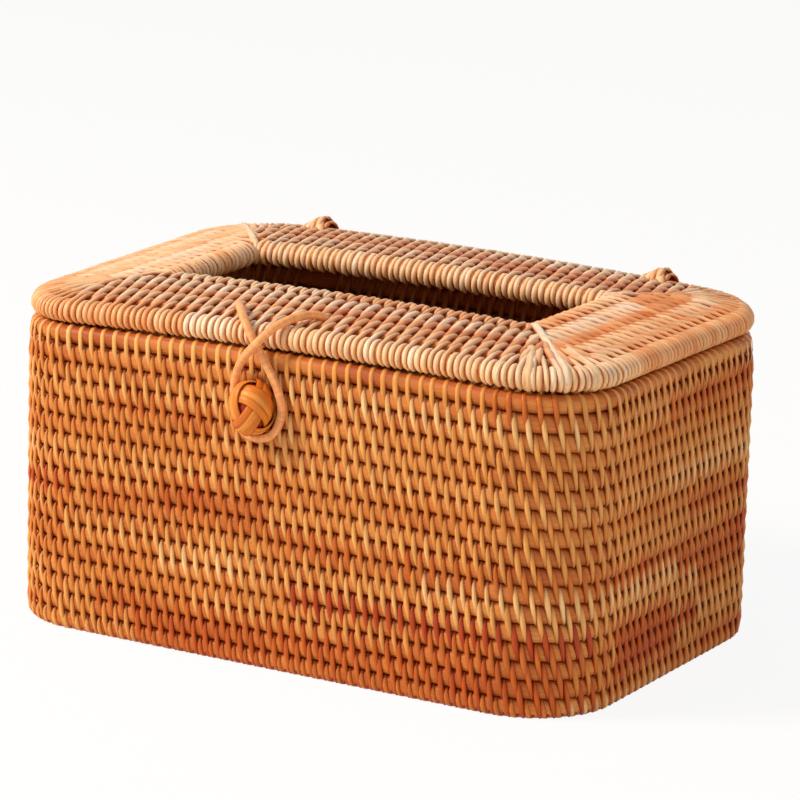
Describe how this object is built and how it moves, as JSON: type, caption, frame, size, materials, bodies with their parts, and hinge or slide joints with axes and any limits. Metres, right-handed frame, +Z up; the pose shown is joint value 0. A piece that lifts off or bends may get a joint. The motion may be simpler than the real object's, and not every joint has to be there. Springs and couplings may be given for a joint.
{
  "type": "tissue box cover",
  "caption": "Rattan tissue box cover: lashed stacked-rod box with rounded corners, hinged slotted lid, and a crossed loop-and-knot clasp at the front.",
  "frame": {"origin": "centre of the underside, on the surface that the box stands on", "axes": "+X to the right along the long side, +Y to the back where the lid hangs, +Z up"},
  "size_m": [0.2486, 0.1817, 0.1364],
  "materials": {
    "rattan_rod": "rattan core rod, clear satin varnish",
    "rattan_strand": "split and round rattan strand, clear satin varnish"
  },
  "bodies": {
    "box": {"base_rod_01": "rattan_rod", "base_rod_02": "rattan_rod", "base_rod_03": "rattan_rod", "base_rod_04": "rattan_rod", "base_rod_05": "rattan_rod", "base_rod_06": "rattan_rod", "base_rod_07": "rattan_rod", "base_rod_08": "rattan_rod", "base_rod_09": "rattan_rod", "base_rod_10": "rattan_rod", "base_rod_11": "rattan_rod", "base_rod_12": "rattan_rod", "base_rod_13": "rattan_rod", "base_rod_14": "rattan_rod", "base_rod_15": "rattan_rod", "base_rod_16": "rattan_rod", "base_rod_17": "rattan_rod", "base_rod_18": "rattan_rod", "base_rod_19": "rattan_rod", "base_rod_20": "rattan_rod", "base_rod_21": "rattan_rod", "wall_course_01": "rattan_rod", "wall_course_02": "rattan_rod", "wall_course_03": "rattan_rod", "wall_course_04": "rattan_rod", "wall_course_05": "rattan_rod", "wall_course_06": "rattan_rod", "wall_course_07": "rattan_rod", "wall_course_08": "rattan_rod", "wall_course_09": "rattan_rod", "wall_course_10": "rattan_rod", "wall_course_11": "rattan_rod", "wall_course_12": "rattan_rod", "wall_course_13": "rattan_rod", "wall_course_14": "rattan_rod", "wall_course_15": "rattan_rod", "wall_course_16": "rattan_rod", "rim_rod": "rattan_rod", "clasp_knot": "rattan_strand", "clasp_knot_tail": "rattan_strand"},
    "lid": {"lid_edge_rod": "rattan_rod", "lid_panel_rod_1": "rattan_rod", "lid_panel_rod_2": "rattan_rod", "lid_panel_rod_3": "rattan_rod", "lid_panel_rod_4": "rattan_rod", "lid_slot_rod": "rattan_rod", "hinge_tie_left": "rattan_strand", "hinge_tie_right": "rattan_strand", "clasp_end_left": "rattan_strand", "clasp_end_right": "rattan_strand"},
    "clasp_loop": {"clasp_loop": "rattan_strand"}
  },
  "joints": [
    {"name": "lid_hinge", "type": "hinge", "parent": "box", "child": "lid", "pos_m": [0, 0.08005, 0.11685], "axis": [-1, 0, 0], "range_deg": [0, 110], "deforming": ["clasp_loop"]},
    {"name": "clasp_swing", "type": "hinge", "parent": "lid", "child": "clasp_loop", "pos_m": [-0.00615, -0.0842, 0.1312], "axis": [-1, 0, 0], "range_deg": [0, 70]}
  ]
}
